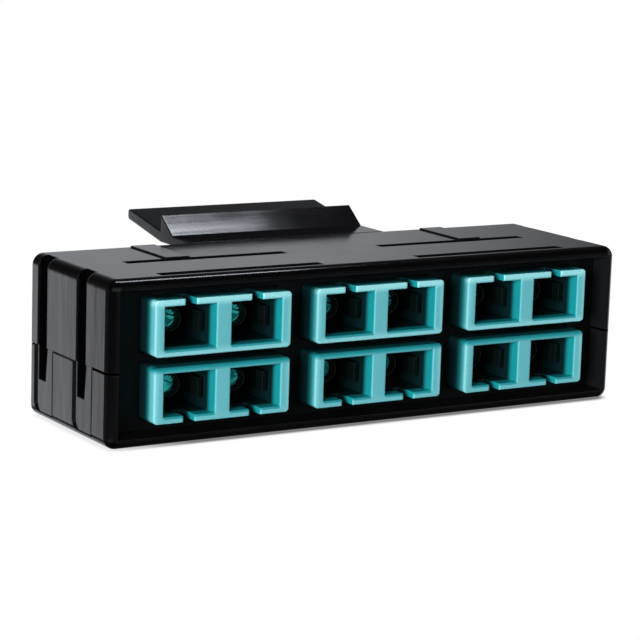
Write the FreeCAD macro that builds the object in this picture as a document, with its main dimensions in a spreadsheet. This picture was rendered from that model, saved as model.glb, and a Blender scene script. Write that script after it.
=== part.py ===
import FreeCAD, Part
import math
import os
import re
import Sketcher

# Fibre adapter panel: a two-part moulded housing that holds six duplex adapters in two rows behind
# a rectangular bezel, with a sprung release latch at the back.
# X runs across the panel, Y from the bezel to the back and Z up. The origin is the middle of the
# housing's underside. All sizes are in millimetres.
SIZES = {
    # Housing
    "body_width": 104.3,
    "body_height": 28.75,
    "body_depth": 30.4,
    "edge_round": 2.0,
    "part_height": 13.05,
    "seam_chamfer": 0.25,
    "top_wall": 1.7,
    "floor_wall": 1.9,
    "side_wall": 3.25,
    # Bezel rim and the plate that sits behind it
    "rim_wall": 1.75,
    "rim_draft": 0.4,
    "recess_depth": 4.2,
    "plate_thick": 1.8,
    "plate_lip": 0.5,
    "plate_play": 0.1,
    "window_play": 0.15,
    # Slots and strips on the top
    "slot_inner": 9.9,
    "slot_length": 31.6,
    "slot_width": 2.2,
    "slot_sink": 1.0,
    "front_slot_back": 4.65,
    "rear_slot_back": 17.1,
    "strip_inner": 28.4,
    "strip_width": 4.7,
    "strip_rise": 0.25,
    # Guide grooves and pads on the sides
    "front_groove": 10.85,
    "groove_pitch": 15.25,
    "groove_width": 3.8,
    "groove_sink": 1.9,
    "narrow_top": 3.4,
    "narrow_width": 2.7,
    "narrow_end": 6.95,
    "pad_length": 7.15,
    "pad_reach": 3.05,
    "pad_sink": 0.35,
    "pad_foot": 1.2,
    "pad_round": 1.8,
    # Adapters, the posts that hold them and the shares of the room between them
    "adapter_width": 26.2,
    "adapter_height": 9.7,
    "column_share": 0.2656,
    "row_share": 0.2957,
    "floor_share": 0.3826,
    "column_gap": "=column_share * (body_width - 2 * side_wall - 3 * adapter_width)",
    "row_room": "=body_height - floor_wall - top_wall - 2 * adapter_height",
    "row_gap": "=row_share * row_room",
    "column_pitch": "=adapter_width + column_gap",
    "row_pitch": "=adapter_height + row_gap",
    "row_middle": "=floor_wall + floor_share * row_room + adapter_height + row_gap / 2",
    "adapter_half": 13.6,
    "adapter_proud": 1.15,
    "adapter_chamfer": 0.45,
    "ear_share": 0.31,
    "rise_share": 0.35,
    "ear_reach": "=ear_share * column_gap",
    "ear_rise": "=rise_share * row_gap",
    "ear_thick": 1.0,
    "ear_play": 0.2,
    "ear_fit": 0.1,
    "post_play": 0.3,
    "post_back": 2.0,
    "port_pitch": 12.7,
    "port_width": 9.7,
    "port_height": 7.35,
    "key_width": 2.0,
    "key_length": 5.0,
    # Sleeve holders and split sleeves
    "base_width": 10.4,
    "base_height": 8.2,
    "base_thick": 1.5,
    "seat_play": 0.1,
    "barrel_radius": 2.1,
    "barrel_length": 5.9,
    "bore_radius": 1.65,
    "arm_gap": 3.6,
    "arm_thick": 0.8,
    "arm_height": 3.4,
    "arm_length": 9.6,
    "hook_reach": 0.5,
    "hook_length": 1.2,
    "sleeve_radius": 1.6,
    "sleeve_bore": 1.25,
    "sleeve_sink": 1.5,
    "sleeve_slit": 20,
    # Release latch
    "latch_width": 40.8,
    "tongue_length": 8.1,
    "tongue_thick": 1.7,
    "wedge_length": 4.7,
    "wedge_rise": 3.45,
    "tab_step": 0.35,
    "tab_length": 13.3,
    "tab_lift": 2.4,
    "tab_thick": 1.95,
    "crest_round": 0.15,
    "tab_round": 0.6,
    "bend_round": 4.0,
}

# Places along Y that several pieces share
FRONT = "(-body_depth / 2)"
REAR = "(body_depth / 2)"
PLATE_FRONT = f"({FRONT} + recess_depth)"
PLATE_BACK = f"({PLATE_FRONT} + plate_thick)"
MIDDLE = f"({FRONT} - adapter_proud + adapter_half)"
GROOVES = [f"{FRONT} + front_groove", f"{FRONT} + front_groove + groove_pitch"]

COLUMNS = {"left": -1, "centre": 0, "right": 1}
ROWS = {"bottom": -1, "top": 1}
PORTS = {"left_port": -1, "right_port": 1}
ENDS = {"front": 0, "rear": 1}

doc = FreeCAD.newDocument("fibre_adapter_panel")
sheet = doc.addObject("Spreadsheet::Sheet", "Sizes")
for line, (alias, value) in enumerate(SIZES.items(), 1):
    sheet.set(f"A{line}", alias)
    sheet.set(f"B{line}", str(value))
    sheet.setAlias(f"B{line}", alias)
doc.recompute()


def bind(item, field, text):
    """Tie a property to a formula of named sizes."""
    named = re.sub(r"[a-z_]+", lambda word: f"Sizes.{word[0]}" if word[0] in SIZES else word[0], text)
    item.setExpression(field, named)


def near(number, target):
    return abs(number - target) < 1e-4


def rectangle(left, right, low, high):
    return [(left, low), (right, low), (right, high), (left, high)]


def centred(half_across, low, high):
    return rectangle(f"-({half_across})", half_across, low, high)


def octagon(flat):
    """Eight flats, each at the same distance from the middle."""
    corner = f"({flat}) * tan(22.5)"
    quarter = [(flat, corner), (corner, flat)]
    half = quarter + [(f"-({across})", up) for across, up in reversed(quarter)]
    return half + [(f"-({across})", f"-({up})") for across, up in half]


def mirrored(outline):
    return [(f"-({across})", along) for across, along in outline]


def new_body(label):
    body = doc.addObject("PartDesign::Body", label)
    body.Label = label
    return body


def add_outline(sketch, corners):
    """Add a closed outline whose corners are held by dimensions from the sketch's origin."""
    count = len(corners)
    first = sketch.GeometryCount
    turns = [2 * math.pi * k / count for k in range(count)]
    spots = [FreeCAD.Vector(math.cos(turn), math.sin(turn), 0) for turn in turns]
    sketch.addGeometry([Part.LineSegment(spots[k - 1], spots[k]) for k in range(count)], False)
    joins = [(first + k, first + (k + 1) % count) for k in range(count)]
    sketch.addConstraint([Sketcher.Constraint("Coincident", one, 2, two, 1) for one, two in joins])
    for k, (across, along) in enumerate(corners):
        spot = spots[k - 1]
        dimensions = [
            Sketcher.Constraint("DistanceX", -1, 1, first + k, 1, spot.x),
            Sketcher.Constraint("DistanceY", -1, 1, first + k, 1, spot.y),
        ]
        for index, text in zip(sketch.addConstraint(dimensions), (across, along)):
            bind(sketch, f"Constraints[{index}]", text)


def add_circle(sketch, radius):
    """Add a circle about the sketch's origin."""
    centre = FreeCAD.Vector(0, 0, 0)
    index = sketch.addGeometry(Part.Circle(centre, FreeCAD.Vector(0, 0, 1), 1.0), False)
    sketch.addConstraint(Sketcher.Constraint("Coincident", index, 3, -1, 1))
    size = sketch.addConstraint(Sketcher.Constraint("Radius", index, 1.0))
    bind(sketch, f"Constraints[{size}]", radius)


def new_sketch(body, name, plane, place, outlines, round_edge=None):
    """Sketch closed outlines on a plane of the body, moved to a place along the plane's own axis."""
    sketch = body.newObject("Sketcher::SketchObject", name)
    support = next(item for item in body.Origin.OriginFeatures if item.Role == plane)
    sketch.AttachmentSupport = [(support, "")]
    sketch.MapMode = "FlatFace"
    sign = "-" if plane == "XZ_Plane" else ""
    bind(sketch, "AttachmentOffset.Base.z", f"{sign}({place})")
    for outline in outlines:
        add_outline(sketch, outline)
    if round_edge:
        add_circle(sketch, round_edge)
    return sketch


def extrude(body, kind, name, plane, low, high, outlines, round_edge=None):
    """Pad or pocket outlines from low to high along the axis that the plane faces."""
    feature = body.newObject(f"PartDesign::{kind}", name)
    feature.Profile = new_sketch(body, f"{name}_outline", plane, low, outlines, round_edge)
    bind(feature, "Length", f"({high}) - ({low})")
    feature.Reversed = (kind == "Pad") == (plane == "XZ_Plane")
    return feature


def dress_edges(body, kind, name, base, chosen, size):
    """Fillet or chamfer the edges of a feature whose middles are chosen."""
    doc.recompute()
    edges = enumerate(base.Shape.Edges, 1)
    names = [f"Edge{number}" for number, edge in edges if chosen(edge.CenterOfMass)]
    feature = body.newObject(f"PartDesign::{kind}", name)
    feature.Base = (base, names)
    bind(feature, "Radius" if kind == "Fillet" else "Size", size)
    return feature


def shell_block(body, low, high, outer_face):
    """Make half of the housing as a block, with its outer edges rounded at the bezel and sides."""
    outline = centred("body_width / 2", low, high)
    block = extrude(body, "Pad", "block", "XZ_Plane", FRONT, REAR, [outline])

    def outer_edge(middle):
        on_side = near(abs(middle.x), sheet.body_width / 2)
        on_front = near(middle.y, -sheet.body_depth / 2)
        return on_side + on_front + near(middle.z, outer_face) >= 2

    return dress_edges(body, "Fillet", "outer_rounding", block, outer_edge, "edge_round")


def hollow_shell(body):
    """Cut the bezel's window, the slot for the adapter plate and the space behind it."""
    rim = "rim_wall"
    window = centred(f"body_width / 2 - {rim}", rim, f"body_height - {rim}")
    rim = "(rim_wall + rim_draft)"
    floor = centred(f"body_width / 2 - {rim}", rim, f"body_height - {rim}")
    mouth = body.newObject("PartDesign::SubtractiveLoft", "bezel_window")
    mouth.Profile = new_sketch(body, "window_front", "XZ_Plane", FRONT, [window])
    mouth.Sections = [(new_sketch(body, "window_floor", "XZ_Plane", PLATE_FRONT, [floor]), [""])]
    wall = "(rim_wall + rim_draft - plate_lip - plate_play)"
    slot = centred(f"body_width / 2 - {wall}", wall, f"body_height - {wall}")
    extrude(body, "Pocket", "plate_slot", "XZ_Plane", PLATE_FRONT, PLATE_BACK, [slot])
    space = centred("body_width / 2 - side_wall", "floor_wall", "body_height - top_wall")
    extrude(body, "Pocket", "inner_space", "XZ_Plane", PLATE_BACK, REAR, [space])


def add_posts(body, low, high):
    """Add the posts between the adapters, with slots for the ears of the adapters' flanges."""
    slot_front = f"{MIDDLE} - ear_thick"
    slot_back = f"{MIDDLE} + ear_thick + ear_fit"
    back = f"{slot_back} + post_back"
    gap_start = "adapter_width / 2 + post_play"
    gap_end = "column_pitch - adapter_width / 2 - post_play"
    slot_start = "adapter_width / 2 + ear_reach + ear_play"
    slot_end = "column_pitch - adapter_width / 2 - ear_reach - ear_play"
    inner = [
        (gap_start, PLATE_BACK), (gap_end, PLATE_BACK), (gap_end, slot_front),
        (slot_end, slot_front), (slot_end, slot_back), (gap_end, slot_back),
        (gap_end, back), (gap_start, back), (gap_start, slot_back),
        (slot_start, slot_back), (slot_start, slot_front), (gap_start, slot_front),
    ]
    gap_start = f"column_pitch + {gap_start}"
    slot_start = f"column_pitch + {slot_start}"
    wall = "body_width / 2 - side_wall / 2"
    outer = [
        (gap_start, PLATE_BACK), (wall, PLATE_BACK), (wall, back), (gap_start, back),
        (gap_start, slot_back), (slot_start, slot_back), (slot_start, slot_front),
        (gap_start, slot_front),
    ]
    posts = [inner, mirrored(inner), outer, mirrored(outer)]
    extrude(body, "Pad", "posts", "XY_Plane", low, high, posts)


def side_cut(body, name, depth, outlines):
    """Cut outlines, seen from the side, into both side walls."""
    face = "body_width / 2"
    extrude(body, "Pocket", f"{name}_right", "YZ_Plane", f"{face} - {depth}", face, outlines)
    left = (f"-{face}", f"-{face} + {depth}")
    return extrude(body, "Pocket", f"{name}_left", "YZ_Plane", *left, outlines)


def side_bands(reach, low, low_width, high, high_width):
    """Bands on both groove lines, with upright backs, that widen to the front from low to high."""
    bands = []
    for centre in GROOVES:
        back = f"{centre} + {reach}"
        low_end = [(f"{back} - {low_width}", low), (back, low)]
        bands.append(low_end + [(back, high), (f"{back} - {high_width}", high)])
    return bands


def upper_shell():
    body = new_body("upper_shell")
    shell_block(body, "part_height", "body_height", sheet.body_height)
    hollow_shell(body)
    add_posts(body, "part_height", "body_height - top_wall / 2")
    slots = []
    for back in ("front_slot_back", "rear_slot_back"):
        ends = (f"{FRONT} + {back} - slot_width", f"{FRONT} + {back}")
        slots.append(rectangle("slot_inner", "slot_inner + slot_length", *ends))
    slots += [mirrored(slot) for slot in slots]
    extrude(body, "Pocket", "slots", "XY_Plane", "body_height - slot_sink", "body_height", slots)
    strip = rectangle("strip_inner", "strip_inner + strip_width", f"{FRONT} + rear_slot_back", REAR)
    strips = [strip, mirrored(strip)]
    top = "body_height + strip_rise"
    extrude(body, "Pad", "strips", "XY_Plane", "body_height - top_wall / 2", top, strips)
    wide = "groove_width"
    grooves = side_bands(f"{wide} / 2", "part_height", wide, "body_height", wide)
    side_cut(body, "grooves", "groove_sink", grooves)
    return body


def lower_shell():
    body = new_body("lower_shell")
    block = shell_block(body, "0", "part_height", 0)

    def seam_edge(middle):
        return near(middle.z, sheet.part_height) and middle.y < sheet.body_depth / 2 - 1e-3

    dress_edges(body, "Chamfer", "seam", block, seam_edge, "seam_chamfer")
    hollow_shell(body)
    add_posts(body, "floor_wall / 2", "part_height")
    long = "pad_length"
    bands = side_bands("pad_reach", "pad_foot", long, "part_height", long)
    pads = side_cut(body, "pads", "pad_sink", bands)
    pad_back = sheet.front_groove + sheet.pad_reach - sheet.body_depth / 2

    def pad_corner(middle):
        at_back = near(middle.y, pad_back) or near(middle.y, pad_back + sheet.groove_pitch)
        return at_back and near(middle.z, sheet.pad_foot)

    dress_edges(body, "Fillet", "pad_rounding", pads, pad_corner, "pad_round")
    wide = "groove_width / 2"
    grooves = side_bands(wide, "narrow_end", "narrow_width", "part_height", "narrow_top")
    side_cut(body, "grooves", "groove_sink", grooves)
    return body


def adapter_plate():
    body = new_body("adapter_plate")
    wall = "(rim_wall + rim_draft - plate_lip)"
    outlines = [centred(f"body_width / 2 - {wall}", wall, f"body_height - {wall}")]
    half_width = "(adapter_width / 2 + window_play)"
    half_height = "(adapter_height / 2 + window_play)"
    for row in ROWS.values():
        for column in COLUMNS.values():
            across = f"{column} * column_pitch"
            up = f"row_middle + {row} * row_pitch / 2"
            sides = (f"{across} - {half_width}", f"{across} + {half_width}")
            outlines.append(rectangle(*sides, f"{up} - {half_height}", f"{up} + {half_height}"))
    extrude(body, "Pad", "plate", "XZ_Plane", PLATE_FRONT, PLATE_BACK, outlines)
    return body


def release_latch():
    body = new_body("release_latch")
    foot = f"{REAR} + tongue_length"
    crest = f"{foot} + wedge_length"
    end = f"{crest} + tab_length"
    tab_end = "body_height + tab_step + tab_lift"
    profile = [
        (REAR, "body_height - tongue_thick"), (crest, "body_height - tongue_thick"),
        (end, f"{tab_end} - tab_thick"), (end, tab_end), (crest, "body_height + tab_step"),
        (crest, "body_height + wedge_rise"), (foot, "body_height"), (REAR, "body_height"),
    ]
    half = "latch_width / 2"
    bar = extrude(body, "Pad", "bar", "YZ_Plane", f"-{half}", half, [profile])
    crest_y = sheet.body_depth / 2 + sheet.tongue_length + sheet.wedge_length
    end_y = crest_y + sheet.tab_length

    def crest_edge(middle):
        return near(middle.y, crest_y) and near(middle.z, sheet.body_height + sheet.wedge_rise)

    def bend_edge(middle):
        return near(middle.y, crest_y) and near(middle.z, sheet.body_height - sheet.tongue_thick)

    def tab_edge(middle):
        return near(middle.y, end_y) and near(middle.x, 0)

    crest_fillet = dress_edges(body, "Fillet", "crest_rounding", bar, crest_edge, "crest_round")
    bend_fillet = dress_edges(body, "Fillet", "bend_rounding", crest_fillet, bend_edge, "bend_round")
    dress_edges(body, "Fillet", "tab_rounding", bend_fillet, tab_edge, "tab_round")
    return body


def turn(row, end):
    """The bottom row is upside down, and what faces the back is turned about the upright."""
    upright = FreeCAD.Rotation(FreeCAD.Vector(0, 0, 1), 180 * end)
    return upright * FreeCAD.Rotation(FreeCAD.Vector(0, 1, 0), 90 - 90 * row)


def place(body, row, column, end, port=0):
    """Put a piece, drawn about the middle of an adapter or of a port, in its place."""
    body.Placement = FreeCAD.Placement(FreeCAD.Vector(0, 0, 0), turn(row, end))
    bind(body, "Placement.Base.x", f"{column} * column_pitch + {port} * port_pitch / 2")
    bind(body, "Placement.Base.y", MIDDLE)
    bind(body, "Placement.Base.z", f"row_middle + {row} * row_pitch / 2")
    return body


def port_outline(axis, half_width, half_height):
    """A rectangle about a port's axis."""
    sides = (f"{axis} - ({half_width})", f"{axis} + ({half_width})")
    return rectangle(*sides, f"-({half_height})", half_height)


def housing_half(label):
    """Half of a duplex adapter's housing, with its mouth towards -Y and its joint at Y = 0."""
    body = new_body(label)
    outline = centred("adapter_width / 2", "-adapter_height / 2", "adapter_height / 2")
    box = extrude(body, "Pad", "box", "XZ_Plane", "-adapter_half", "0", [outline])

    def long_edge(middle):
        return near(middle.y, -sheet.adapter_half / 2)

    dress_edges(body, "Chamfer", "edge_break", box, long_edge, "adapter_chamfer")
    half_height = "(adapter_height / 2 + ear_rise)"
    flange = centred("adapter_width / 2 + ear_reach", f"-{half_height}", half_height)
    extrude(body, "Pad", "flange", "XZ_Plane", "-ear_thick", "0", [flange])
    ports = []
    seats = []
    keys = []
    for side in PORTS.values():
        axis = f"{side} * port_pitch / 2"
        ports.append(port_outline(axis, "port_width / 2", "port_height / 2"))
        seats.append(port_outline(axis, "base_width / 2 + seat_play", "base_height / 2 + seat_play"))
        edges = (f"{axis} - key_width / 2", f"{axis} + key_width / 2")
        keys.append(rectangle(*edges, "0", "adapter_height"))
    extrude(body, "Pocket", "ports", "XZ_Plane", "-adapter_half", "-base_thick", ports)
    extrude(body, "Pocket", "seats", "XZ_Plane", "-base_thick", "0", seats)
    extrude(body, "Pocket", "keys", "XZ_Plane", "-adapter_half", "-adapter_half + key_length", keys)
    return body


def sleeve_holder(label):
    """Base, barrel and two hooked latch arms, about a port's axis and pointing towards -Y."""
    body = new_body(label)
    base = centred("base_width / 2", "-base_height / 2", "base_height / 2")
    bore = octagon("bore_radius")
    extrude(body, "Pad", "base", "XZ_Plane", "-base_thick", "0", [base, bore])
    extrude(body, "Pad", "barrel", "XZ_Plane", "-barrel_length", "0", [bore], round_edge="barrel_radius")
    back_of_hook = "-arm_length + hook_length"
    arm = [
        ("arm_gap", "0"), ("arm_gap + arm_thick", "0"), ("arm_gap + arm_thick", "-arm_length"),
        ("arm_gap", "-arm_length"), ("arm_gap - hook_reach", back_of_hook), ("arm_gap", back_of_hook),
    ]
    half = "arm_height / 2"
    extrude(body, "Pad", "arms", "XY_Plane", f"-{half}", half, [arm, mirrored(arm)])
    return body


def split_sleeve(label):
    body = new_body(label)
    half = "(barrel_length - sleeve_sink)"
    section = rectangle("sleeve_bore", "sleeve_radius", f"-{half}", half)
    feature = body.newObject("PartDesign::Revolution", "tube")
    sketch = new_sketch(body, "tube_section", "XY_Plane", "0", [section])
    feature.Profile = sketch
    feature.ReferenceAxis = (sketch, ["V_Axis"])
    bind(feature, "Angle", "360 - sleeve_slit")
    return body


def adapter(row_name, column_name):
    """All the pieces of one duplex adapter."""
    row = ROWS[row_name]
    column = COLUMNS[column_name]
    label = f"{row_name}_{column_name}"
    pieces = []
    for end_name, end in ENDS.items():
        pieces.append(place(housing_half(f"{label}_{end_name}_housing"), row, column, end))
        for port_name, port in PORTS.items():
            holder = sleeve_holder(f"{label}_{port_name}_{end_name}_holder")
            pieces.append(place(holder, row, column, end, port))
    for port_name, port in PORTS.items():
        sleeve = split_sleeve(f"{label}_{port_name}_split_sleeve")
        pieces.append(place(sleeve, row, column, ENDS["front"], port))
    return pieces


def write_parts(pieces):
    """Stop if anything failed, and otherwise write one file for each piece."""
    faults = [item.Name for item in doc.Objects if {"Invalid", "Error"} & set(item.State)]
    faults += [item.Label for item in pieces if item.Shape.isNull() or not item.Shape.isValid()]
    if faults:
        raise RuntimeError("Failed: " + ", ".join(faults))
    os.makedirs("parts", exist_ok=True)
    for piece in pieces:
        piece.Shape.exportStep(f"parts/{piece.Label}.step")


panel = [upper_shell(), lower_shell(), adapter_plate(), release_latch()]
for row_label in ROWS:
    for column_label in COLUMNS:
        panel += adapter(row_label, column_label)
doc.recompute()
write_parts(panel)
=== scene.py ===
import math

import bmesh
import bpy
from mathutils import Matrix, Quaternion, Vector


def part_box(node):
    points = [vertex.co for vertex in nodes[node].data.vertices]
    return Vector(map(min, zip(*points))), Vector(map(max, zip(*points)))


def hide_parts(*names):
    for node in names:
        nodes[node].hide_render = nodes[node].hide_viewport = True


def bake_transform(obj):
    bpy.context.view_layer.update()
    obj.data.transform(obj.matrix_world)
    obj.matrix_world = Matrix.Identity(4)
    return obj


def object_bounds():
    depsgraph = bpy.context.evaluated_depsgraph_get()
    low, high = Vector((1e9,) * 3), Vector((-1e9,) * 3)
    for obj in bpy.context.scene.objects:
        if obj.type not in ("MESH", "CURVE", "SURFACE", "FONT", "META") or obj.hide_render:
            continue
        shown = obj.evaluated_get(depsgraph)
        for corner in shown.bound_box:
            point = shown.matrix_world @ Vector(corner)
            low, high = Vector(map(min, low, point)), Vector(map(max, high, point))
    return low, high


# Fibre adapter panel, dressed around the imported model. All lengths are in metres.
MM = 0.001

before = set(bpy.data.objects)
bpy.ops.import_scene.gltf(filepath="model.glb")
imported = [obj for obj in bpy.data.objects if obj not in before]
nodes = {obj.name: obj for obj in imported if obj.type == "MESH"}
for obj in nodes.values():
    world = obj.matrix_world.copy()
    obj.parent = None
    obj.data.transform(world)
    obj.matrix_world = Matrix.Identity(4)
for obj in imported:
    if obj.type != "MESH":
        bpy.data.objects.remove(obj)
cad_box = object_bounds()

# Camera at the photograph's viewing angle
CAMERA_PLACE = Vector((-0.23238, -0.37350, 0.09939))
CAMERA_AIM = Vector((-0.01096, -0.01373, 0.01917))
CAMERA_LENS = 139.716
CAMERA_ROLL = math.radians(1.8576)
CAMERA_NEAREST = 0.01

# Plastics, as linear colours
BLACK = (0.0040, 0.0040, 0.0045)
BLACK_CLOUD = (0.0056, 0.0056, 0.0063)
BLACK_WORN = (0.010, 0.010, 0.011)
# painted light: the bezel's inner sides, lighter than the rest of the shell
BLACK_INNER_LIT = (0.0080, 0.0084, 0.0092)
# a dark joint, and painted shade along the pads, in the grooves and on the roundings
BLACK_JOINT_AND_SHADE = (0.0003, 0.0003, 0.0003)
PLATE_BLACK = (0.0015, 0.0020, 0.0022)
PLATE_CLOUD = (0.0030, 0.0035, 0.0040)
AQUA = (0.138, 0.500, 0.550)
AQUA_CLOUD = (0.130, 0.486, 0.535)
# painted highlight: the pale teal of the adapters' lit rims, sides and edges
AQUA_HIGHLIGHT = (0.420, 0.900, 0.930)
# painted shade: saturated teal inside the ports, on the tops and between the rows, and near-black teal
# towards the plate
AQUA_SHADE = (0.010, 0.300, 0.330)
AQUA_DEEP_SHADE = (0.003, 0.016, 0.018)
# painted shade: the holders are near black, darkened for their place far inside the ports
HOLDER_SHADE_DARK = (0.0015, 0.003, 0.003)
HOLDER_SHADE_TEAL = (0.003, 0.006, 0.006)
# painted highlight along the holders' edges
HOLDER_HIGHLIGHT = (0.020, 0.034, 0.032)
# painted light: the sleeves' ceramic is tinted teal by the light from the teal ports
SLEEVE_LIT_TEAL = (0.020, 0.330, 0.320)
SLEEVE_LIT_PALE = (0.080, 0.480, 0.460)
# painted light: the sleeves' bores glow
SLEEVE_PAINTED_DIM = (0.000, 0.010, 0.010)
SLEEVE_PAINTED_GLOW = (0.014, 0.200, 0.185)
# painted highlight on the rim of each barrel
BARREL_RIM_HIGHLIGHT = (0.075, 0.080, 0.068)

# How rough each plastic is, from its glossiest to its dullest patches
SHELL_ROUGH = (0.10, 0.14)
LATCH_ROUGH = (0.06, 0.10)
PLATE_ROUGH = (0.42, 0.54)
AQUA_ROUGH = (0.24, 0.34)
HOLDER_ROUGH = (0.40, 0.52)
SLEEVE_ROUGH = (0.14, 0.22)

# The spark grain of each plastic: how fine it is, in cycles per metre, and how deep
BLACK_GRAIN = (5200.0, 0.0015 * MM)
PLATE_GRAIN = (4200.0, 0.008 * MM)
AQUA_GRAIN = (6000.0, 0.006 * MM)
HOLDER_GRAIN = (6000.0, 0.005 * MM)
SLEEVE_GRAIN = (8000.0, 0.002 * MM)
GRAIN_STRENGTH = 0.6
GRAIN_DETAIL = 2.0

# Gleam and the patches of colour and gloss that all the plastics share
PLASTIC_IOR = 1.5
USUAL_GLEAM = 0.5
PLATE_GLEAM = 0.3
HOLDER_GLEAM = 0.12
CLOUD_SCALE = 70.0
GLOSS_SCALE = 160.0
GLOSS_DETAIL = 4.0

# Noise in general: its detail, and the middle of its range, where most of its values lie
NOISE_DETAIL = 3.0
NOISE_MIDDLE = (0.3, 0.7)

# The sockets of a Mix node that take and give colours
MIX_COLOURS_IN = (6, 7)
MIX_COLOUR_OUT = 2

# Edges that are worn on the shells and carry a painted highlight on the holders: how far it reaches, which
# turns of the normal count, and how noise breaks it up
BLACK_WEAR = (0.30 * MM, BLACK_WORN)
HOLDER_EDGE_HIGHLIGHT = (0.14 * MM, HOLDER_HIGHLIGHT)
WEAR_AND_SHEEN_SAMPLES = 6
WEAR_AND_SHEEN_TURN = (0.86, 0.998)
WEAR_AND_SHEEN_SCALE = 900.0
WEAR_AND_SHEEN_LEAST = 0.2

# Waves that the flowing plastic leaves: their stretch, their depth on the sides and the share elsewhere
SHELL_FLOW = ((1.0, 1.0, 0.12), 0.036 * MM, 0.22)
LATCH_FLOW = ((0.06, 1.0, 1.0), 0.010 * MM, 1.0)
FLOW_SCALE = 260.0
FLOW_FACING = (0.5, 0.9)

# Which parts of the normal along an axis count as a rounded edge, and as a flat top or underside
ROUND_TURN = (0.84, 0.985)
FLAT_TURN = (0.88, 0.99)

# An adapter's front, and how far painted shade darkens the plastic's colour from there inwards
PORT_WIDTH = 9.7 * MM
PORT_HEIGHT = 7.35 * MM
KEY_WIDTH = 2.0 * MM
PORT_SLACK = 0.06 * MM
ADAPTER_WIDTH = 26.2 * MM
ADAPTER_HEIGHT = 9.7 * MM
IN_PORT = (1.5 * MM, 3.2 * MM)
OUTER_SIDE = (0.9 * MM, 3.5 * MM)
SHELTERED = (-0.3 * MM, 3.1 * MM)
SHADE_GAIN = 1.6

# Painted highlights that make the adapters' rims, sides and edges pale
MOUTH_SLACK = 0.40 * MM
MOUTH_HIGHLIGHT = 0.25
RIM_WIDTH = 1.5 * MM
RIM_FULL = 0.6 * MM
SIDE_RIM = 1.1 * MM
SIDE_RIM_DEPTH = 0.6 * MM
SIDE_HIGHLIGHT = 0.45
TOP_RIM = 0.7
LOW_RIM = 0.1
TOP_ROW_HIGHLIGHT = 0.55
EDGE_HIGHLIGHT = (0.15, 1.0)
EDGE_UPWARD = (0.0, 0.5)

# Where painted shade deepens the adapters' colour outside the ports
LOW_ROW_FADE = (0.5 * MM, 1.15 * MM)
LOW_ROW_SHADE = 0.6
UNDER_PORT_SHADE = 0.9
FLAT_TOP_SHADE = 0.9

# The painted highlight on the thin rim at the tip of a sleeve holder's barrel
BARREL_RIM = (1.93 * MM, 2.13 * MM)
BARREL_TIP = 5.8 * MM

# The painted bands of light in the bores of the sleeves, which are dimmer right of the left column
BAND_PITCH = 0.78 * MM
BAND_SLANT = -0.8
BAND_RANGE = (-0.6, 0.1)
BAND_DIM = 0.35
BAND_DIMMING = (-22.0 * MM, -8.0 * MM)
GLOW_SCALE = 420.0
GLOW_DETAIL = 1.0
GLOW_RANGE = (0.34, 0.56)
GLOW_STRENGTH = 1.0

# Where the shells are darkest: at their dark joint, and with painted shade along the pads' front edges, in
# the grooves and on the roundings. Painted light makes the bezel's inner sides paler.
JOINT_HEIGHT = 13.05 * MM
JOINT_HALF = 0.18 * MM
PAD_FRONTS = (-8.45 * MM, 6.80 * MM)
PAD_FOOT = 1.2 * MM
PAD_LINE_HALF = 0.34 * MM
GROOVES = (-4.35 * MM, 10.90 * MM)
GROOVE_HALF = 1.95 * MM
GROOVE_FLOOR = 50.8 * MM
GROOVE_SLACK = 0.9 * MM
GROOVE_FOOT = 6.5 * MM
GROOVE_DARK = 0.8
ROUNDING_DARK = 0.9
BEZEL_BACK = -11.0 * MM
SIDE_FACE = 51.2 * MM
INNER_FACING = 0.8

# Edges that the moulds leave soft
ADAPTER_EDGE = 0.34 * MM
LATCH_EDGE = 0.22 * MM
SOFT_EDGE_SEGMENTS = 3
SOFT_EDGE_PROFILE = 0.5
SHARP_ANGLE = math.radians(30)
FLAT_ANGLE = math.radians(1)
WELD_REACH = 0.001 * MM

# The latch's tongue is cut into steps where it would bend, and its root keeps sharp edges. Corners are told
# apart to some digits.
BEND_STEPS = 14
ROOT_REACH = 0.01 * MM
CORNER_DIGITS = 5

# The floor and its painted contact shadow, which is faint at the left end
FLOOR_SIZE = 30.0
FLOOR_GREY = (0.40, 0.40, 0.40, 1.0)
SHADOW_SAMPLES = 16
SHADOW_REACH = 2.4 * MM
SHADOW_FAINT = 0.85
SHADOW_DARK = 0.20
SHADOW_DARK_FROM = -36.0 * MM
SHADOW_RANGE = (0.33, 0.75)

# The room's glows: how bright each is, and along which axes it starts from nothing and is full
ROOM_LIGHT = 0.03
ROOM_TINT = (0.965, 1.0, 1.045, 1.0)
WHITE = (1.0, 1.0, 1.0, 1.0)
BACK_GLOW = (0.49, (
    ("X", 0.67, 0.49), ("X", -0.20, 0.15), ("Y", 0.10, 0.50), ("Z", 0.51, 0.16), ("Z", -0.06, 0.02),
))
LEFT_GLOW = (1.25, (
    ("X", -0.50, -0.405), ("X", -0.15, -0.36), ("Y", 0.30, 0.60), ("Z", 0.02, -0.10), ("Z", -0.42, -0.25),
))

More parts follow.
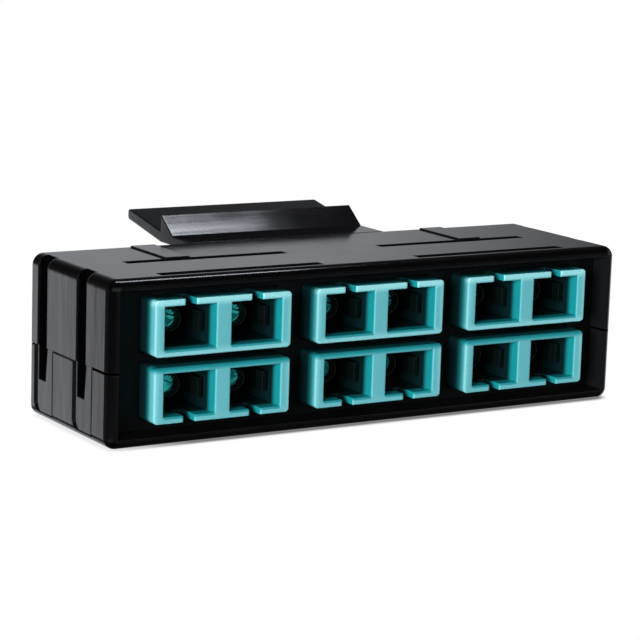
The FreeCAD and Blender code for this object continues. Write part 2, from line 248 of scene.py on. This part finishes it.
# Dimmer glows that the back, the right side and the top show when they are seen from elsewhere
FAR_GLOWS = (
    (0.55, (("X", -0.22, 0.0), ("Y", 0.30, 0.55), ("Z", -0.02, -0.12), ("Z", -0.75, -0.50))),
    (0.55, (("X", 0.55, 0.75), ("Y", -0.25, 0.0), ("Z", 0.0, -0.10), ("Z", -0.75, -0.50))),
    (0.28, (("X", -0.35, -0.60), ("Y", 0.10, -0.20), ("Z", -0.20, -0.30), ("Z", -0.75, -0.50))),
    (0.40, (("X", 0.42, 0.30), ("Y", -0.20, -0.50), ("Z", 0.04, 0.14), ("Z", 0.70, 0.45))),
    (0.20, (("X", 0.50, 0.60), ("Y", -0.50, -0.65), ("Z", 0.05, -0.05), ("Z", -0.60, -0.40))),
    (0.40, (("X", 0.60, 0.72), ("Y", 0.30, 0.0), ("Z", 0.04, 0.14), ("Z", 0.70, 0.45))),
)

# The lights. The strip stands over the part, and its far edge ends along the wedge.
STRIP = {
    "place": (0.1225, 0.0760, 0.50), "aim": (0.1225, 0.0760, 0.0), "size": (0.29, 0.05),
    "radiance": 14.0, "turn": math.radians(-6.7), "colour": (0.86, 0.91, 1.0),
}
KEY = {"place": (-1.48, -1.08, 0.23), "aim": (0.0, -0.015, 0.015), "size": (0.80, 0.80), "radiance": 28.5}
REAR = {"place": (0.42, 0.70, 0.34), "aim": (0.0, 0.012, 0.015), "size": (0.40, 0.40), "radiance": 14.0}


def set_socket(tree, socket, value):
    """Link a socket to another one, or give it a plain value."""
    if isinstance(value, bpy.types.NodeSocket):
        tree.links.new(value, socket)
    else:
        socket.default_value = value


def add_node(tree, kind, settings=None, **inputs):
    """Add a shader node. An input is a socket to link or a plain value, named with _ for a space."""
    node = tree.nodes.new(f"ShaderNode{kind}")
    for name, value in (settings or {}).items():
        setattr(node, name, value)
    for name, value in inputs.items():
        set_socket(tree, node.inputs[name.replace("_", " ")], value)
    return node


def split(tree, vector):
    """The X, Y and Z sockets of a vector."""
    return add_node(tree, "SeparateXYZ", Vector=vector).outputs


def noise(tree, place, scale, detail=NOISE_DETAIL, stretch=None):
    """Noise over the object's own coordinates, with a scale in cycles per metre."""
    if stretch:
        place = add_node(tree, "Mapping", Vector=place, Scale=stretch).outputs["Vector"]
    return add_node(tree, "TexNoise", Vector=place, Scale=scale, Detail=detail).outputs["Fac"]


def spread(tree, value, low, high, start=NOISE_MIDDLE[0], end=NOISE_MIDDLE[1]):
    """Map a value that runs from start to end, like the middle of a noise, to low and high."""
    inputs = {"Value": value, "From_Min": start, "From_Max": end, "To_Min": low, "To_Max": high}
    return add_node(tree, "MapRange", **inputs).outputs["Result"]


def smooth_step(tree, value, start, end):
    """Rise softly from 0 to 1 as a value goes from start to end."""
    settings = {"interpolation_type": "SMOOTHSTEP"}
    return add_node(tree, "MapRange", settings, Value=value, From_Min=start, From_Max=end).outputs["Result"]


def switch(tree, mask, off, on):
    """One value where a mask is 0 and another where it is 1."""
    return spread(tree, mask, off, on, 0.0, 1.0)


def calculate(tree, operation, *values):
    """One step of arithmetic on sockets and plain numbers."""
    node = add_node(tree, "Math", {"operation": operation})
    for socket, value in zip(node.inputs, values):
        set_socket(tree, socket, value)
    return node.outputs["Value"]


def size_of(tree, value):
    return calculate(tree, "ABSOLUTE", value)


def times(tree, first, *others):
    """The product of several values."""
    for other in others:
        first = calculate(tree, "MULTIPLY", first, other)
    return first


def largest(tree, first, *others):
    """The largest of several values."""
    for other in others:
        first = calculate(tree, "MAXIMUM", first, other)
    return first


def mix_colours(tree, factor, first, second):
    node = add_node(tree, "Mix", {"data_type": "RGBA"})
    tree.links.new(factor, node.inputs["Factor"])
    for index, colour in zip(MIX_COLOURS_IN, (first, second)):
        set_socket(tree, node.inputs[index], (*colour, 1.0) if isinstance(colour, tuple) else colour)
    return node.outputs[MIX_COLOUR_OUT]


def mix_shaders(tree, factor, first, second):
    node = add_node(tree, "MixShader", Fac=factor)
    tree.links.new(first, node.inputs[1])
    tree.links.new(second, node.inputs[2])
    return node.outputs["Shader"]


def start_material(name):
    material = bpy.data.materials.new(name)
    material.use_nodes = True
    material.node_tree.nodes.clear()
    return material, material.node_tree


def close_material(tree, shader):
    output = add_node(tree, "OutputMaterial")
    tree.links.new(shader, output.inputs["Surface"])


def face_normal(tree):
    return add_node(tree, "NewGeometry").outputs["Normal"]


def side_facing(tree):
    """How far a face looks along X, to either side."""
    return size_of(tree, split(tree, face_normal(tree))["X"])


def roundness(tree):
    """A mask of the faces that look along no axis, and the upward part of the normal."""
    parts = split(tree, face_normal(tree))
    flatness = largest(tree, *(size_of(tree, parts[axis]) for axis in "XYZ"))
    return spread(tree, flatness, 1.0, 0.0, *ROUND_TURN), parts["Z"]


def rounded_edges(tree):
    """Masks of a box-shaped piece's rounded edges, which carry a painted highlight that is palest where they
    look up, and of its flat tops and undersides."""
    edges, upward = roundness(tree)
    edges = times(tree, edges, spread(tree, upward, *EDGE_HIGHLIGHT, *EDGE_UPWARD))
    return edges, spread(tree, size_of(tree, upward), 0.0, 1.0, *FLAT_TURN)


def edge_wear_and_sheen(tree, place, radius):
    """A mask along convex and concave edges, broken up by noise, and a normal that rounds them."""
    rounded = add_node(tree, "Bevel", {"samples": WEAR_AND_SHEEN_SAMPLES}, Radius=radius).outputs["Normal"]
    turned = add_node(tree, "VectorMath", {"operation": "DOT_PRODUCT"})
    tree.links.new(rounded, turned.inputs[0])
    tree.links.new(face_normal(tree), turned.inputs[1])
    edge = spread(tree, turned.outputs["Value"], 1.0, 0.0, *WEAR_AND_SHEEN_TURN)
    broken = spread(tree, noise(tree, place, WEAR_AND_SHEEN_SCALE), WEAR_AND_SHEEN_LEAST, 1.0)
    return times(tree, edge, broken), rounded


def middle_of(node):
    low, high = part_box(node)
    return (low + high) / 2


def port_offsets(tree, place):
    """How far a place is from the nearest port's axis, outwards and away from the other row, and from
    the joint between the adapter's halves."""
    corner = middle_of("top_centre_right_port_front_holder")
    row_middle = (corner.z + middle_of("bottom_centre_right_port_front_holder").z) / 2
    column_pitch = middle_of("top_right_right_port_front_holder").x - corner.x
    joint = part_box("top_centre_front_housing")[1].y
    parts = split(tree, place)
    across = calculate(tree, "WRAP", parts["X"], column_pitch / 2, -column_pitch / 2)
    across = calculate(tree, "SUBTRACT", size_of(tree, across), corner.x)
    up = size_of(tree, calculate(tree, "SUBTRACT", parts["Z"], row_middle))
    up = calculate(tree, "SUBTRACT", up, corner.z - row_middle)
    along = size_of(tree, calculate(tree, "SUBTRACT", parts["Y"], joint))
    return across, up, along


def port_area(tree, across, up, slack):
    """A mask of a port and its key slot, with some slack around them."""
    reach = size_of(tree, across)
    in_width = calculate(tree, "LESS_THAN", reach, PORT_WIDTH / 2 + slack)
    in_height = calculate(tree, "LESS_THAN", size_of(tree, up), PORT_HEIGHT / 2 + slack)
    in_key = calculate(tree, "LESS_THAN", reach, KEY_WIDTH / 2 + slack)
    in_key = times(tree, in_key, calculate(tree, "GREATER_THAN", up, 0.0))
    return largest(tree, times(tree, in_width, in_height), in_key)


def depth_shade(tree, place_x, depth, inside):
    """How much painted shade there is at a depth: by limits of their own in the ports, on the outer sides of
    the outer columns and on the faces that other adapters shelter."""
    outermost = middle_of("top_right_front_housing").x + ADAPTER_WIDTH / 2 - RIM_WIDTH
    outer_side = calculate(tree, "GREATER_THAN", size_of(tree, place_x), outermost)
    limits = []
    for in_port, on_side, sheltered in zip(IN_PORT, OUTER_SIDE, SHELTERED):
        outside = switch(tree, outer_side, sheltered, on_side)
        limits.append(switch(tree, inside, outside, in_port))
    return smooth_step(tree, depth, *limits)


def painted_highlights(tree, across, up, depth, low_row, edges):
    """A mask of the painted highlights that make an adapter pale: on its sides, lips, the lower walls of the
    top row, and rounded edges.
    """
    half_width = ADAPTER_WIDTH / 2 - middle_of("top_centre_right_port_front_holder").x
    half_height = ADAPTER_HEIGHT / 2
    side = spread(tree, across, 0.0, SIDE_HIGHLIGHT, half_width - SIDE_RIM, half_width)
    side = times(tree, side, spread(tree, depth, 1.0, 0.0, 0.0, SIDE_RIM_DEPTH))
    lips = spread(tree, up, 0.0, 1.0, half_height - RIM_WIDTH, half_height - RIM_FULL)
    lips = times(tree, lips, switch(tree, low_row, TOP_RIM, LOW_RIM))
    lower_wall = spread(tree, up, TOP_ROW_HIGHLIGHT, 0.0, -half_height, RIM_WIDTH - half_height)
    lower_wall = times(tree, lower_wall, switch(tree, low_row, 1.0, 0.0))
    mouth = port_area(tree, across, up, MOUTH_SLACK)
    edges = times(tree, edges, switch(tree, mouth, 1.0, MOUTH_HIGHLIGHT))
    return largest(tree, side, lips, lower_wall, edges)


def painted_shade_areas(tree, across, from_gap, up, low_row, flat_top):
    """A mask of painted shade that deepens an adapter's colour outside the ports: the upper walls of the low
    row, the flat tops and the lower edges of the ports."""
    upper_wall = times(tree, spread(tree, from_gap, 1.0, 0.0, *LOW_ROW_FADE), low_row)
    down = times(tree, up, switch(tree, low_row, -1.0, 1.0))
    under_port = calculate(tree, "COMPARE", down, (PORT_HEIGHT + MOUTH_SLACK) / 2, MOUTH_SLACK / 2)
    in_width = calculate(tree, "LESS_THAN", size_of(tree, across), PORT_WIDTH / 2)
    under_port = times(tree, under_port, in_width, UNDER_PORT_SHADE)
    return largest(tree, upper_wall, times(tree, flat_top, FLAT_TOP_SHADE), under_port)


def port_shade(tree, place):
    """Masks of an adapter: inside its ports, where its painted shade is darkest, where painted highlights
    make it pale and where painted shade deepens its colour outside the ports."""
    across, up, along = port_offsets(tree, place)
    low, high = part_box("top_centre_front_housing")
    depth = calculate(tree, "SUBTRACT", high.y - low.y, along)
    parts = split(tree, place)
    low_row = calculate(tree, "LESS_THAN", parts["Z"], low.z)
    inside = port_area(tree, across, up, PORT_SLACK)
    from_gap = calculate(tree, "ADD", up, ADAPTER_HEIGHT / 2)
    wall_shade = times(tree, spread(tree, from_gap, LOW_ROW_SHADE, 0.0, 0.0, LOW_ROW_FADE[0]), low_row)
    shade = largest(tree, depth_shade(tree, parts["X"], depth, inside), wall_shade)
    edges, flat_top = rounded_edges(tree)
    pale = painted_highlights(tree, across, up, depth, low_row, edges)
    return inside, shade, pale, painted_shade_areas(tree, across, from_gap, up, low_row, flat_top)


def barrel_rim(tree, place):
    """A mask of the thin rim at the tip of a barrel, where a highlight is painted."""
    across, up, along = port_offsets(tree, place)
    square = calculate(tree, "MULTIPLY_ADD", up, up, times(tree, across, across))
    low, high = BARREL_RIM
    ring = calculate(tree, "COMPARE", calculate(tree, "SQRT", square), (low + high) / 2, (high - low) / 2)
    return times(tree, ring, calculate(tree, "GREATER_THAN", along, BARREL_TIP))


def shell_joints_and_shade(tree, place):
    """Masks of the shells' dark joint, of painted shade along the pads' front edges and in the grooves, and
    of the bezel's inner sides, which painted light makes paler.
    """
    parts = split(tree, place)
    across, along, height = size_of(tree, parts["X"]), parts["Y"], parts["Z"]
    joint = calculate(tree, "COMPARE", height, JOINT_HEIGHT, JOINT_HALF)
    joint = times(tree, joint, calculate(tree, "LESS_THAN", along, PAD_FRONTS[0]))
    on_side = calculate(tree, "GREATER_THAN", across, SIDE_FACE)
    middle, half = (JOINT_HEIGHT + PAD_FOOT) / 2, (JOINT_HEIGHT - PAD_FOOT) / 2
    pads = largest(tree, *(calculate(tree, "COMPARE", along, front, PAD_LINE_HALF) for front in PAD_FRONTS))
    pads = times(tree, pads, on_side, calculate(tree, "COMPARE", height, middle, half))
    grooves = largest(tree, *(calculate(tree, "COMPARE", along, groove, GROOVE_HALF) for groove in GROOVES))
    grooves = times(
        tree, grooves, GROOVE_DARK, calculate(tree, "COMPARE", across, GROOVE_FLOOR, GROOVE_SLACK),
        calculate(tree, "GREATER_THAN", height, GROOVE_FOOT),
    )
    in_bezel = calculate(tree, "LESS_THAN", along, BEZEL_BACK)
    inner = calculate(tree, "GREATER_THAN", side_facing(tree), INNER_FACING)
    inner = times(tree, inner, in_bezel, switch(tree, on_side, 1.0, 0.0))
    return largest(tree, joint, pads, grooves), inner


def slanted_bands(tree, place):
    """Painted bands of light across a bore, from dark to bright, and dimmer in the columns away from the left
    one.
    """
    parts = split(tree, place)
    height = calculate(tree, "MULTIPLY_ADD", parts["X"], BAND_SLANT, parts["Z"])
    wave = calculate(tree, "SINE", times(tree, height, math.tau / BAND_PITCH))
    bands = spread(tree, wave, 0.0, 1.0, *BAND_RANGE)
    return times(tree, bands, spread(tree, parts["X"], 1.0, BAND_DIM, *BAND_DIMMING))


def moulded_plastic(
    name, colours, rough, grain, gleam=USUAL_GLEAM,
    highlight_and_shade=None, wear_and_sheen=None, rim=None, joints=None, flow=None, glow=None,
):
    """Plastic with cloudy colour, uneven gloss and a fine spark grain. Where asked, it has an adapter's
    painted highlights and painted shade, soft edges that are worn on the shells and carry a painted highlight
    on the holders, a painted highlight on a barrel's rim, a dark joint with painted shade and painted light
    beside it, flow waves or a painted glow."""
    material, tree = start_material(name)
    place = add_node(tree, "TexCoord").outputs["Object"]
    colour = mix_colours(tree, spread(tree, noise(tree, place, CLOUD_SCALE), 0.0, 1.0), *colours)
    gloss = noise(tree, place, GLOSS_SCALE, GLOSS_DETAIL)
    grain_scale, grain_depth = grain
    bump = {
        "Height": noise(tree, place, grain_scale, GRAIN_DETAIL),
        "Strength": GRAIN_STRENGTH, "Distance": grain_depth,
    }
    shaped = {}
    # Painted highlights, then painted shade, on the adapters
    if highlight_and_shade:
        edge, inner, deepest = highlight_and_shade
        inside, shade, pale, deeper = port_shade(tree, place)
        colour = mix_colours(tree, pale, colour, edge)
        colour = mix_colours(tree, deeper, colour, inner)
        colour = mix_colours(tree, calculate(tree, "MULTIPLY_ADD", shade, SHADE_GAIN, inside), colour, inner)
        colour = mix_colours(tree, shade, colour, deepest)
    # Worn edges on the shells, and a painted highlight along the edges of the holders
    if wear_and_sheen:
        radius, worn_and_sheen_colour = wear_and_sheen
        mask, rounded = edge_wear_and_sheen(tree, place, radius)
        colour = mix_colours(tree, mask, colour, worn_and_sheen_colour)
        shaped["Normal"] = rounded
    # A painted highlight on the rim of a barrel
    if rim:
        colour = mix_colours(tree, barrel_rim(tree, place), colour, rim)
    # The shells: a dark joint and painted shade, with no gloss at the joint, along the pads and in the
    # grooves, and painted light on the bezel's inner sides
    if joints:
        inner_lit_colour, joint_and_shade_colour = joints
        dark, inner = shell_joints_and_shade(tree, place)
        rounding_shade = times(tree, roundness(tree)[0], ROUNDING_DARK)
        colour = mix_colours(tree, inner, colour, inner_lit_colour)
        colour = mix_colours(tree, largest(tree, dark, rounding_shade), colour, joint_and_shade_colour)
        gleam = switch(tree, dark, gleam, 0.0)
    if flow:
        stretch, wave_depth, elsewhere = flow
        waves = {
            "Height": noise(tree, place, FLOW_SCALE, stretch=stretch),
            "Strength": spread(tree, side_facing(tree), elsewhere, 1.0, *FLOW_FACING),
            "Distance": wave_depth,
        }
        shaped["Normal"] = add_node(tree, "Bump", **waves, **shaped).outputs["Normal"]
    surface = add_node(
        tree, "BsdfPrincipled", Base_Color=colour, Roughness=spread(tree, gloss, *rough),
        Normal=add_node(tree, "Bump", **bump, **shaped).outputs["Normal"],
        IOR=PLASTIC_IOR, Specular_IOR_Level=gleam,
    )
    # A painted glow in bands, which stands in for the light in the bores
    if glow:
        patches = spread(tree, noise(tree, place, GLOW_SCALE, GLOW_DETAIL), 0.0, 1.0, *GLOW_RANGE)
        patches = times(tree, patches, slanted_bands(tree, place))
        set_socket(tree, surface.inputs["Emission Color"], mix_colours(tree, patches, *glow))
        set_socket(tree, surface.inputs["Emission Strength"], GLOW_STRENGTH)
    close_material(tree, surface.outputs["BSDF"])
    return material


def floor_material():
    """White to the camera with a painted soft contact shadow, and dim to what the part reflects."""
    material, tree = start_material("pale_floor")
    samples = {"samples": SHADOW_SAMPLES}
    near_part = add_node(tree, "AmbientOcclusion", samples, Distance=SHADOW_REACH).outputs["AO"]
    across = split(tree, add_node(tree, "TexCoord").outputs["Object"])["X"]
    darkest = spread(tree, across, SHADOW_FAINT, SHADOW_DARK, cad_box[0].x, SHADOW_DARK_FROM)
    shown = add_node(tree, "Emission", Color=spread(tree, near_part, darkest, 1.0, *SHADOW_RANGE))
    dim = add_node(tree, "BsdfDiffuse", Color=FLOOR_GREY)
    seen = add_node(tree, "LightPath").outputs["Is Camera Ray"]
    close_material(tree, mix_shaders(tree, seen, dim.outputs["BSDF"], shown.outputs["Emission"]))
    return material


def paint(item, material):
    item.data.materials.clear()
    item.data.materials.append(material)


def soften_edges(item, width):
    """Round the edges of a node with modifiers, which leave its own mesh as it is."""
    weld = item.modifiers.new("weld", "WELD")
    weld.merge_threshold = WELD_REACH
    bevel = item.modifiers.new("soft_edges", "BEVEL")
    bevel.width = width
    bevel.segments = SOFT_EDGE_SEGMENTS
    bevel.limit_method = "ANGLE"
    bevel.angle_limit = SHARP_ANGLE
    item.modifiers.new("even_shading", "WEIGHTED_NORMAL")


def dress_nodes(finishes):
    """Give each node the finish that its name asks for."""
    for name, item in nodes.items():
        kind = next(ending for ending in finishes if name.endswith(ending))
        paint(item, finishes[kind])
        if name.endswith("_housing"):
            soften_edges(item, ADAPTER_EDGE)


def latch_wedge_foot(source):
    """Where the wedge starts to rise from the tongue: the second place along Y that has corners."""
    places = sorted({round(vertex.co.y, CORNER_DIGITS) for vertex in source.data.vertices})
    return places[1]


def latch_mesh(source, foot):
    """The latch's own mesh with soft edges, except at its root, and with cuts along the tongue."""
    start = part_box("release_latch")[0].y
    mesh = bmesh.new()
    mesh.from_mesh(source.data)
    bmesh.ops.remove_doubles(mesh, verts=mesh.verts, dist=WELD_REACH)
    bmesh.ops.dissolve_limit(mesh, angle_limit=FLAT_ANGLE, verts=mesh.verts, edges=mesh.edges)
    sharp = [edge for edge in mesh.edges if edge.calc_face_angle(0.0) > SHARP_ANGLE]
    sharp = [edge for edge in sharp if max(end.co.y for end in edge.verts) > start + ROOT_REACH]
    bmesh.ops.bevel(
        mesh, geom=sharp, offset=LATCH_EDGE, offset_type="OFFSET", segments=SOFT_EDGE_SEGMENTS,
        profile=SOFT_EDGE_PROFILE, affect="EDGES", clamp_overlap=True,
    )
    for step in range(1, BEND_STEPS):
        cut = Vector((0, start + (foot - start) * step / BEND_STEPS, 0))
        everything = list(mesh.verts) + list(mesh.edges) + list(mesh.faces)
        bmesh.ops.bisect_plane(mesh, geom=everything, plane_co=cut, plane_no=(0, 1, 0))
    data = bpy.data.meshes.new("sprung_latch")
    mesh.to_mesh(data)
    mesh.free()
    for face in data.polygons:
        face.use_smooth = True
    return data


def build_latch(material):
    """The latch as one moulding with the housing, its tongue cut into steps from the root to the wedge."""
    source = nodes["release_latch"]
    foot = latch_wedge_foot(source)
    latch = bpy.data.objects.new("sprung_latch", latch_mesh(source, foot))
    bpy.context.scene.collection.objects.link(latch)
    latch.modifiers.new("even_shading", "WEIGHTED_NORMAL")
    paint(latch, material)
    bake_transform(latch)
    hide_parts("release_latch")


def add_floor():
    bpy.ops.mesh.primitive_plane_add(size=FLOOR_SIZE, location=(0, 0, cad_box[0].z))
    floor = bpy.context.object
    floor.name = "floor"
    floor.visible_glossy = False
    paint(floor, floor_material())


def aim(item, place, target, turn):
    """Put a light or camera at a place, facing a target and turned about its own axis."""
    item.location = place
    item.rotation_mode = "QUATERNION"
    facing = (Vector(target) - Vector(place)).to_track_quat("-Z", "Y")
    item.rotation_quaternion = facing @ Quaternion((0, 0, 1), turn)
    bpy.context.scene.collection.objects.link(item)


def add_softbox(name, light):
    """A rectangular light that the camera doesn't see."""
    lamp = bpy.data.lights.new(name, "AREA")
    lamp.shape = "RECTANGLE"
    width, height = light["size"]
    lamp.size, lamp.size_y = width, height
    lamp.energy = light["radiance"] * math.pi * width * height
    lamp.color = light.get("colour", WHITE[:3])
    box = bpy.data.objects.new(name, lamp)
    box.visible_camera = False
    aim(box, light["place"], light["aim"], light.get("turn", 0.0))
    return box


def add_lights():
    """A strip that shows in reflections, and two boxes that only light the surfaces."""
    add_softbox("top_strip", STRIP)
    for name, light in (("key_box", KEY), ("rear_box", REAR)):
        add_softbox(name, light).visible_glossy = False


def room_light(tree):
    """How bright the dim room is in each direction, with its soft glows."""
    parts = split(tree, add_node(tree, "TexCoord").outputs["Generated"])
    light = ROOM_LIGHT
    for glow, fades in (BACK_GLOW, LEFT_GLOW, *FAR_GLOWS):
        for axis, none, full in fades:
            glow = calculate(tree, "MULTIPLY", smooth_step(tree, parts[axis], none, full), glow)
        light = calculate(tree, "ADD", glow, light)
    return light


def add_world():
    """White to the camera, and the dim room to all else."""
    world = bpy.data.worlds.new("studio")
    bpy.context.scene.world = world
    world.use_nodes = True
    tree = world.node_tree
    tree.nodes.clear()
    seen = add_node(tree, "LightPath").outputs["Is Camera Ray"]
    room = add_node(tree, "Background", Color=ROOM_TINT, Strength=room_light(tree))
    backdrop = add_node(tree, "Background", Color=WHITE)
    shader = mix_shaders(tree, seen, room.outputs["Background"], backdrop.outputs["Background"])
    output = add_node(tree, "OutputWorld")
    tree.links.new(shader, output.inputs["Surface"])


def add_camera():
    camera = bpy.data.objects.new("camera", bpy.data.cameras.new("camera"))
    camera.data.lens = CAMERA_LENS
    camera.data.clip_start = CAMERA_NEAREST
    aim(camera, CAMERA_PLACE, CAMERA_AIM, CAMERA_ROLL)
    bpy.context.scene.camera = camera
    bpy.context.scene.view_settings.view_transform = "Standard"


housing_black = moulded_plastic(
    "housing_black", (BLACK, BLACK_CLOUD), SHELL_ROUGH, BLACK_GRAIN,
    wear_and_sheen=BLACK_WEAR, joints=(BLACK_INNER_LIT, BLACK_JOINT_AND_SHADE), flow=SHELL_FLOW,
)
latch_black = moulded_plastic(
    "latch_black", (BLACK, BLACK_CLOUD), LATCH_ROUGH, BLACK_GRAIN, wear_and_sheen=BLACK_WEAR, flow=LATCH_FLOW,
)
plate_black = moulded_plastic(
    "plate_black", (PLATE_BLACK, PLATE_CLOUD), PLATE_ROUGH, PLATE_GRAIN, PLATE_GLEAM,
)
adapter_aqua = moulded_plastic(
    "adapter_aqua", (AQUA, AQUA_CLOUD), AQUA_ROUGH, AQUA_GRAIN, highlight_and_shade=(AQUA_HIGHLIGHT, AQUA_SHADE, AQUA_DEEP_SHADE),
)
# The holders: painted shade in their colour and a painted highlight along their edges
holder_teal = moulded_plastic(
    "holder_teal", (HOLDER_SHADE_DARK, HOLDER_SHADE_TEAL), HOLDER_ROUGH, HOLDER_GRAIN, HOLDER_GLEAM,
    wear_and_sheen=HOLDER_EDGE_HIGHLIGHT, rim=BARREL_RIM_HIGHLIGHT,
)
sleeve_ceramic = moulded_plastic(
    "sleeve_ceramic", (SLEEVE_LIT_TEAL, SLEEVE_LIT_PALE), SLEEVE_ROUGH, SLEEVE_GRAIN, glow=(SLEEVE_PAINTED_DIM, SLEEVE_PAINTED_GLOW),
)

dress_nodes({
    "_shell": housing_black,
    "release_latch": latch_black,
    "adapter_plate": plate_black,
    "_housing": adapter_aqua,
    "_holder": holder_teal,
    "_sleeve": sleeve_ceramic,
})
build_latch(latch_black)
add_floor()
add_lights()
add_world()
add_camera()
